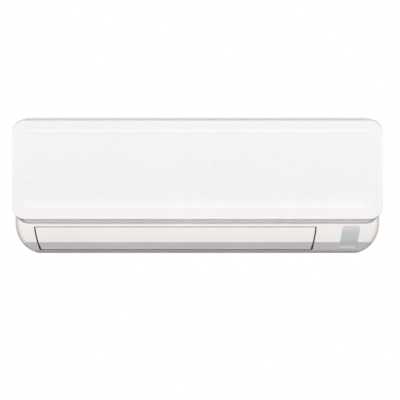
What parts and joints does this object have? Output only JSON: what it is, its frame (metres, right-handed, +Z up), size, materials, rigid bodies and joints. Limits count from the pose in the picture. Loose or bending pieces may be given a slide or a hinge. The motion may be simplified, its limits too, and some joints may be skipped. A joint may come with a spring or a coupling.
{
  "type": "mini split indoor unit",
  "caption": "Wall-mounted air conditioner indoor unit with a hinged flat front panel, a swinging outlet flap, a crossflow fan, a finned coil and lift-out air filters.",
  "frame": {"origin": "on the wall face of the mounting plate, at the middle of the unit in width and height", "axes": "+X along the unit to the viewer's right, +Y into the wall, +Z up"},
  "size_m": [0.798, 0.23, 0.292],
  "materials": {
    "casing": "fine satin moulded plastic",
    "panel": "smooth satin moulded plastic",
    "flap": "satin moulded plastic",
    "outlet": "matt moulded plastic",
    "base": "matt moulded plastic",
    "vane": "matt dark grey plastic",
    "fins": "pressed fins",
    "coil_plate": "galvanised sheet",
    "copper": "drawn copper tube",
    "brass": "turned brass",
    "fan": "glass filled plastic",
    "steel": "zinc plated steel",
    "rubber": "moulded rubber",
    "motor": "resin moulded motor",
    "small_motor": "plated can",
    "galvanised": "galvanised sheet steel",
    "electric_box": "flame retardant plastic",
    "circuit_board": "lacquered board",
    "terminal": "moulded black plastic",
    "filter_frame": "moulded plastic",
    "filter_mesh": "woven plastic net",
    "display": "smoked translucent window"
  },
  "bodies": {
    "chassis": {"front_casing": "casing", "inlet_grille": "casing", "terminal_cover": "casing", "flap_support": "outlet", "drain_pan": "outlet", "base_frame": "base", "bearing_holder": "base", "drain_spout": "base", "pipe_clamp": "base", "display_holder": "base", "outlet_cheek_left": "vane", "outlet_cheek_right": "vane", "evaporator_front_lower": "fins", "evaporator_front_upper": "fins", "evaporator_rear": "fins", "evaporator_end_plates": "coil_plate", "refrigerant_tubes": "copper", "pipe_liquid": "copper", "pipe_gas": "copper", "liquid_union": "brass", "gas_union": "brass", "casing_screws": "steel", "terminal_cover_screw": "steel", "fan_bearing": "rubber", "fan_motor": "motor", "flap_motor": "small_motor", "vane_motor_left": "small_motor", "vane_motor_right": "small_motor", "mounting_plate": "galvanised", "motor_bracket": "galvanised", "electric_box": "electric_box", "control_board": "circuit_board", "display_board": "circuit_board", "terminal_block": "terminal", "button_switch": "terminal", "display_window": "display"},
    "front_panel": {"front_panel": "panel"},
    "flap": {"flap": "flap"},
    "fan": {"crossflow_fan": "fan", "fan_shaft": "steel"},
    "filter_left": {"filter_frame_left": "filter_frame", "filter_mesh_left": "filter_mesh"},
    "filter_right": {"filter_frame_right": "filter_frame", "filter_mesh_right": "filter_mesh"},
    "run_button": {"run_button": "casing"},
    "vane_link_left": {"vane_link_left": "vane"},
    "vane_link_right": {"vane_link_right": "vane"},
    "vane_01": {"vane_01": "vane"},
    "vane_02": {"vane_02": "vane"},
    "vane_03": {"vane_03": "vane"},
    "vane_04": {"vane_04": "vane"},
    "vane_05": {"vane_05": "vane"},
    "vane_06": {"vane_06": "vane"},
    "vane_07": {"vane_07": "vane"},
    "vane_08": {"vane_08": "vane"},
    "vane_09": {"vane_09": "vane"},
    "vane_10": {"vane_10": "vane"}
  },
  "joints": [
    {"name": "panel_hinge", "type": "hinge", "parent": "chassis", "child": "front_panel", "pos_m": [0, -0.206, 0.131], "axis": [-1, 0, 0], "range_deg": [0, 70]},
    {"name": "flap_hinge", "type": "hinge", "parent": "chassis", "child": "flap", "pos_m": [0, -0.1825, -0.123], "axis": [1, 0, 0], "range_deg": [0, 75]},
    {"name": "fan_spin", "type": "hinge", "parent": "chassis", "child": "fan", "pos_m": [0, -0.105, -0.045], "axis": [1, 0, 0], "continuous": true},
    {"name": "filter_left_lift", "type": "slide", "parent": "chassis", "child": "filter_left", "axis": [0, 0, 1], "range_m": [0, 0.008]},
    {"name": "filter_right_lift", "type": "slide", "parent": "chassis", "child": "filter_right", "axis": [0, 0, 1], "range_m": [0, 0.008]},
    {"name": "button_press", "type": "slide", "parent": "chassis", "child": "run_button", "axis": [0, 1, 0], "range_m": [0, 0.0015], "stiffness_N_per_m": 800},
    {"name": "vane_01_turn", "type": "hinge", "parent": "chassis", "child": "vane_01", "pos_m": [-0.30515, -0.14072, -0.12412], "axis": [0, -0.4412, 0.8974], "range_deg": [-35, 35]},
    {"name": "vane_02_turn", "type": "hinge", "parent": "chassis", "child": "vane_02", "pos_m": [-0.24745, -0.14072, -0.12412], "axis": [0, -0.4412, 0.8974], "range_deg": [-35, 35]},
    {"name": "vane_03_turn", "type": "hinge", "parent": "chassis", "child": "vane_03", "pos_m": [-0.18975, -0.14072, -0.12412], "axis": [0, -0.4412, 0.8974], "range_deg": [-35, 35]},
    {"name": "vane_04_turn", "type": "hinge", "parent": "chassis", "child": "vane_04", "pos_m": [-0.13205, -0.14072, -0.12412], "axis": [0, -0.4412, 0.8974], "range_deg": [-35, 35]},
    {"name": "vane_05_turn", "type": "hinge", "parent": "chassis", "child": "vane_05", "pos_m": [-0.07435, -0.14072, -0.12412], "axis": [0, -0.4412, 0.8974], "range_deg": [-35, 35]},
    {"name": "vane_06_turn", "type": "hinge", "parent": "chassis", "child": "vane_06", "pos_m": [-0.01665, -0.14072, -0.12412], "axis": [0, -0.4412, 0.8974], "range_deg": [-35, 35]},
    {"name": "vane_07_turn", "type": "hinge", "parent": "chassis", "child": "vane_07", "pos_m": [0.04105, -0.14072, -0.12412], "axis": [0, -0.4412, 0.8974], "range_deg": [-35, 35]},
    {"name": "vane_08_turn", "type": "hinge", "parent": "chassis", "child": "vane_08", "pos_m": [0.09875, -0.14072, -0.12412], "axis": [0, -0.4412, 0.8974], "range_deg": [-35, 35]},
    {"name": "vane_09_turn", "type": "hinge", "parent": "chassis", "child": "vane_09", "pos_m": [0.15645, -0.14072, -0.12412], "axis": [0, -0.4412, 0.8974], "range_deg": [-35, 35]},
    {"name": "vane_10_turn", "type": "hinge", "parent": "chassis", "child": "vane_10", "pos_m": [0.21415, -0.14072, -0.12412], "axis": [0, -0.4412, 0.8974], "range_deg": [-35, 35]},
    {"name": "vane_link_left_turn", "type": "hinge", "parent": "vane_01", "child": "vane_link_left", "pos_m": [-0.30515, -0.17843, -0.07914], "axis": [0, -0.4412, 0.8974], "range_deg": [-35, 35]},
    {"name": "vane_link_right_turn", "type": "hinge", "parent": "vane_06", "child": "vane_link_right", "pos_m": [-0.01665, -0.17843, -0.07914], "axis": [0, -0.4412, 0.8974], "range_deg": [-35, 35]}
  ],
  "couplings": [
    {"joint": "vane_02_turn", "follows": "vane_01_turn", "ratio": 1},
    {"joint": "vane_03_turn", "follows": "vane_01_turn", "ratio": 1},
    {"joint": "vane_04_turn", "follows": "vane_01_turn", "ratio": 1},
    {"joint": "vane_05_turn", "follows": "vane_01_turn", "ratio": 1},
    {"joint": "vane_07_turn", "follows": "vane_06_turn", "ratio": 1},
    {"joint": "vane_08_turn", "follows": "vane_06_turn", "ratio": 1},
    {"joint": "vane_09_turn", "follows": "vane_06_turn", "ratio": 1},
    {"joint": "vane_10_turn", "follows": "vane_06_turn", "ratio": 1},
    {"joint": "vane_link_left_turn", "follows": "vane_01_turn", "ratio": -1},
    {"joint": "vane_link_right_turn", "follows": "vane_06_turn", "ratio": -1}
  ]
}
